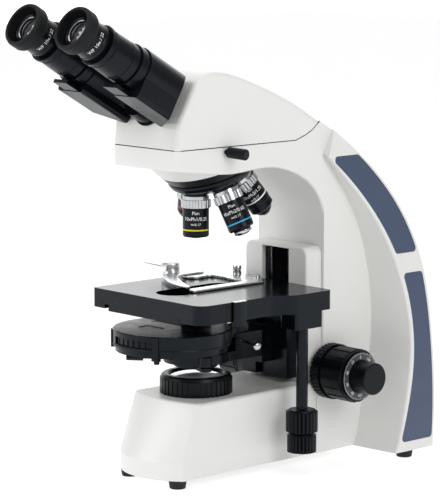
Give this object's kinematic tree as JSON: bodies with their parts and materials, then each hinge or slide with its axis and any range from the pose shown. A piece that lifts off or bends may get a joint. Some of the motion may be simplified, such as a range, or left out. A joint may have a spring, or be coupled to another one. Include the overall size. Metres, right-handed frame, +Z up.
{
  "type": "binocular compound microscope",
  "caption": "Upright laboratory microscope: tilted twin eyepieces, revolving objectives, mechanical stage, turret condenser with a filter tray, coaxial focus knobs and a curved winged stand.",
  "frame": {"origin": "foot of the optical axis on the bench, under the centre of the field lens", "axes": "+Z up along the optical axis; +Y away from the user, towards the arm; +X to the user's right, along the focus knobs"},
  "size_m": [0.21, 0.4079, 0.4333],
  "materials": {
    "black_anodised": "satin anodised",
    "black_plastic": "fine matt",
    "blue_inlay": "fine matt",
    "casting_paint": "cast, satin white paint",
    "chrome": "polished",
    "glass": "polished",
    "lamp_alu": "extruded",
    "rubber": "matt",
    "stage_black": "satin hard coat",
    "steel": "turned",
    "steel_plate": "zinc plated"
  },
  "bodies": {
    "stand": {"base_casting": "casting_paint", "arm_casting": "casting_paint", "beam_casting": "casting_paint", "base_plate": "steel_plate", "rubber_feet": "rubber", "inlay_panels": "blue_inlay", "nosepiece_seat": "casting_paint", "guide_cover": "casting_paint", "guide_rails": "steel", "focus_bushes": "black_anodised", "lamp_module": "lamp_alu", "lamp_housing": "black_anodised", "field_lens": "glass", "power_inlet": "black_plastic", "head_housing": "casting_paint", "binocular_hub": "black_anodised"},
    "head_lock": {"head_lock_screw": "black_plastic"},
    "right_tube": {"prism_housing_right": "black_anodised", "eyetube_right": "chrome"},
    "left_tube": {"prism_housing_left": "black_anodised", "eyetube_left": "chrome"},
    "right_eyepiece": {"eyepiece_right": "black_anodised", "eyecup_right": "rubber", "eye_lens_right": "glass"},
    "left_eyepiece": {"eyepiece_left": "black_anodised", "eyecup_left": "rubber", "eye_lens_left": "glass"},
    "right_diopter": {"diopter_ring_right": "black_anodised"},
    "left_diopter": {"diopter_ring_left": "black_anodised"},
    "nosepiece": {"nosepiece_turret": "black_anodised", "objective_4x": "black_anodised", "objective_10x": "black_anodised", "objective_20x": "black_anodised", "objective_40x": "black_anodised", "objective_100x": "black_anodised", "objective_collars": "chrome"},
    "carriage": {"focus_carriage": "black_anodised", "stage_base": "stage_black"},
    "coarse_drive": {"coarse_knobs": "black_plastic", "coarse_pinion": "steel"},
    "fine_drive": {"fine_knobs": "black_plastic", "fine_shaft": "steel"},
    "tension_collar": {"tension_ring": "black_plastic"},
    "stage": {"stage_top": "stage_black", "drive_column": "steel"},
    "y_drive": {"y_drive_knob": "black_plastic"},
    "x_drive": {"x_drive_knob": "black_plastic"},
    "holder": {"specimen_holder": "black_anodised"},
    "finger": {"holder_finger": "chrome"},
    "condenser": {"condenser_carrier": "black_anodised", "condenser_body": "black_anodised", "condenser_lens": "black_anodised"},
    "condenser_drive": {"condenser_knob": "black_plastic"},
    "phase_disc": {"phase_turret": "black_plastic"},
    "aperture": {"aperture_lever": "black_anodised"},
    "filter": {"filter_tray": "black_anodised"},
    "screw_left": {"centring_screw_left": "chrome"},
    "screw_right": {"centring_screw_right": "chrome"},
    "field_diaphragm": {"field_ring": "black_plastic"},
    "dimmer": {"brightness_knob": "black_plastic"}
  },
  "joints": [
    {"name": "head_lock_turn", "type": "hinge", "parent": "stand", "child": "head_lock", "pos_m": [0.022, -0.008, 0.3012], "axis": [0.977, 0.2052, -0.0586], "range_deg": [0, 360]},
    {"name": "right_tube_fold", "type": "hinge", "parent": "stand", "child": "right_tube", "pos_m": [0, -0.0523, 0.3388], "axis": [0, -0.866, 0.5], "range_deg": [-13.7, 33]},
    {"name": "left_tube_fold", "type": "hinge", "parent": "stand", "child": "left_tube", "pos_m": [0, -0.0523, 0.3388], "axis": [0, -0.866, 0.5], "range_deg": [-33, 13.7]},
    {"name": "right_eyepiece_focus", "type": "slide", "parent": "right_tube", "child": "right_eyepiece", "axis": [0, -0.866, 0.5], "range_m": [-0.002, 0.003]},
    {"name": "left_eyepiece_focus", "type": "slide", "parent": "left_tube", "child": "left_eyepiece", "axis": [0, -0.866, 0.5], "range_m": [-0.002, 0.003]},
    {"name": "right_diopter_turn", "type": "hinge", "parent": "right_tube", "child": "right_diopter", "pos_m": [0.034, -0.04815, 0.346], "axis": [0, -0.866, 0.5], "range_deg": [-144, 216]},
    {"name": "left_diopter_turn", "type": "hinge", "parent": "left_tube", "child": "left_diopter", "pos_m": [-0.034, -0.04815, 0.346], "axis": [0, -0.866, 0.5], "range_deg": [-144, 216]},
    {"name": "nosepiece_turn", "type": "hinge", "parent": "stand", "child": "nosepiece", "pos_m": [0, 0.02214, 0.26548], "axis": [0, -0.3502, 0.9367], "continuous": true},
    {"name": "focus_travel", "type": "slide", "parent": "stand", "child": "carriage", "axis": [0, 0, 1], "range_m": [-0.003, 0.041]},
    {"name": "coarse_knob_turn", "type": "hinge", "parent": "stand", "child": "coarse_drive", "pos_m": [0, 0.1265, 0.0855], "axis": [1, 0, 0], "range_deg": [-391.6, 28.7]},
    {"name": "fine_knob_turn", "type": "hinge", "parent": "stand", "child": "fine_drive", "pos_m": [0, 0.1265, 0.0855], "axis": [1, 0, 0], "continuous": true},
    {"name": "tension_ring_turn", "type": "hinge", "parent": "stand", "child": "tension_collar", "pos_m": [0, 0.1265, 0.0855], "axis": [1, 0, 0], "range_deg": [-60, 60]},
    {"name": "stage_y_travel", "type": "slide", "parent": "carriage", "child": "stage", "axis": [0, 1, 0], "range_m": [-0.038, 0.003]},
    {"name": "y_knob_turn", "type": "hinge", "parent": "stage", "child": "y_drive", "pos_m": [0.07, 0.067, 0.05], "axis": [0, 0, 1], "range_deg": [-435.5, 34.4]},
    {"name": "x_knob_turn", "type": "hinge", "parent": "stage", "child": "x_drive", "pos_m": [0.07, 0.067, 0.03], "axis": [0, 0, 1], "range_deg": [-45.9, 848.1]},
    {"name": "stage_x_travel", "type": "slide", "parent": "stage", "child": "holder", "axis": [1, 0, 0], "range_m": [-0.004, 0.074]},
    {"name": "finger_swing", "type": "hinge", "parent": "holder", "child": "finger", "pos_m": [-0.062, 0.06, 0.173], "axis": [0, 0, 1], "range_deg": [-25, 0], "stiffness_Nm_per_rad": 0.05},
    {"name": "condenser_travel", "type": "slide", "parent": "carriage", "child": "condenser", "axis": [0, 0, 1], "range_m": [-0.003, 0.009]},
    {"name": "condenser_knob_turn", "type": "hinge", "parent": "carriage", "child": "condenser_drive", "pos_m": [-0.03, 0.089, 0.112], "axis": [1, 0, 0], "range_deg": [-103.2, 34.4]},
    {"name": "phase_disc_turn", "type": "hinge", "parent": "condenser", "child": "phase_disc", "pos_m": [0, -0.029, 0.131], "axis": [0, 0, 1], "continuous": true},
    {"name": "aperture_turn", "type": "hinge", "parent": "condenser", "child": "aperture", "pos_m": [0, 0, 0.116], "axis": [0, 0, 1], "range_deg": [-25, 25]},
    {"name": "filter_swing", "type": "hinge", "parent": "condenser", "child": "filter", "pos_m": [0.028, -0.014, 0.102], "axis": [0, 0, 1], "range_deg": [0, 100]},
    {"name": "screw_left_turn", "type": "hinge", "parent": "condenser", "child": "screw_left", "pos_m": [-0.024, 0.031, 0.124], "axis": [-0.9552, -0.2961, 0], "range_deg": [-360, 360]},
    {"name": "screw_right_turn", "type": "hinge", "parent": "condenser", "child": "screw_right", "pos_m": [0.024, 0.031, 0.124], "axis": [0.9552, -0.2961, 0], "range_deg": [-360, 360]},
    {"name": "field_diaphragm_turn", "type": "hinge", "parent": "stand", "child": "field_diaphragm", "pos_m": [0, 0, 0.085], "axis": [0, 0, 1], "range_deg": [-60, 60]},
    {"name": "dimmer_turn", "type": "hinge", "parent": "stand", "child": "dimmer", "pos_m": [-0.0431, 0.02, 0.042], "axis": [-1, 0, 0], "range_deg": [0, 270]}
  ],
  "couplings": [
    {"joint": "left_tube_fold", "follows": "right_tube_fold", "ratio": -1},
    {"joint": "coarse_knob_turn", "follows": "focus_travel", "rad_per_m": -166.67},
    {"joint": "y_knob_turn", "follows": "stage_y_travel", "rad_per_m": 200},
    {"joint": "x_knob_turn", "follows": "stage_x_travel", "rad_per_m": 200},
    {"joint": "condenser_knob_turn", "follows": "condenser_travel", "rad_per_m": -200},
    {"joint": "right_diopter_turn", "follows": "right_eyepiece_focus", "rad_per_m": 1256.6},
    {"joint": "left_diopter_turn", "follows": "left_eyepiece_focus", "rad_per_m": 1256.6}
  ]
}
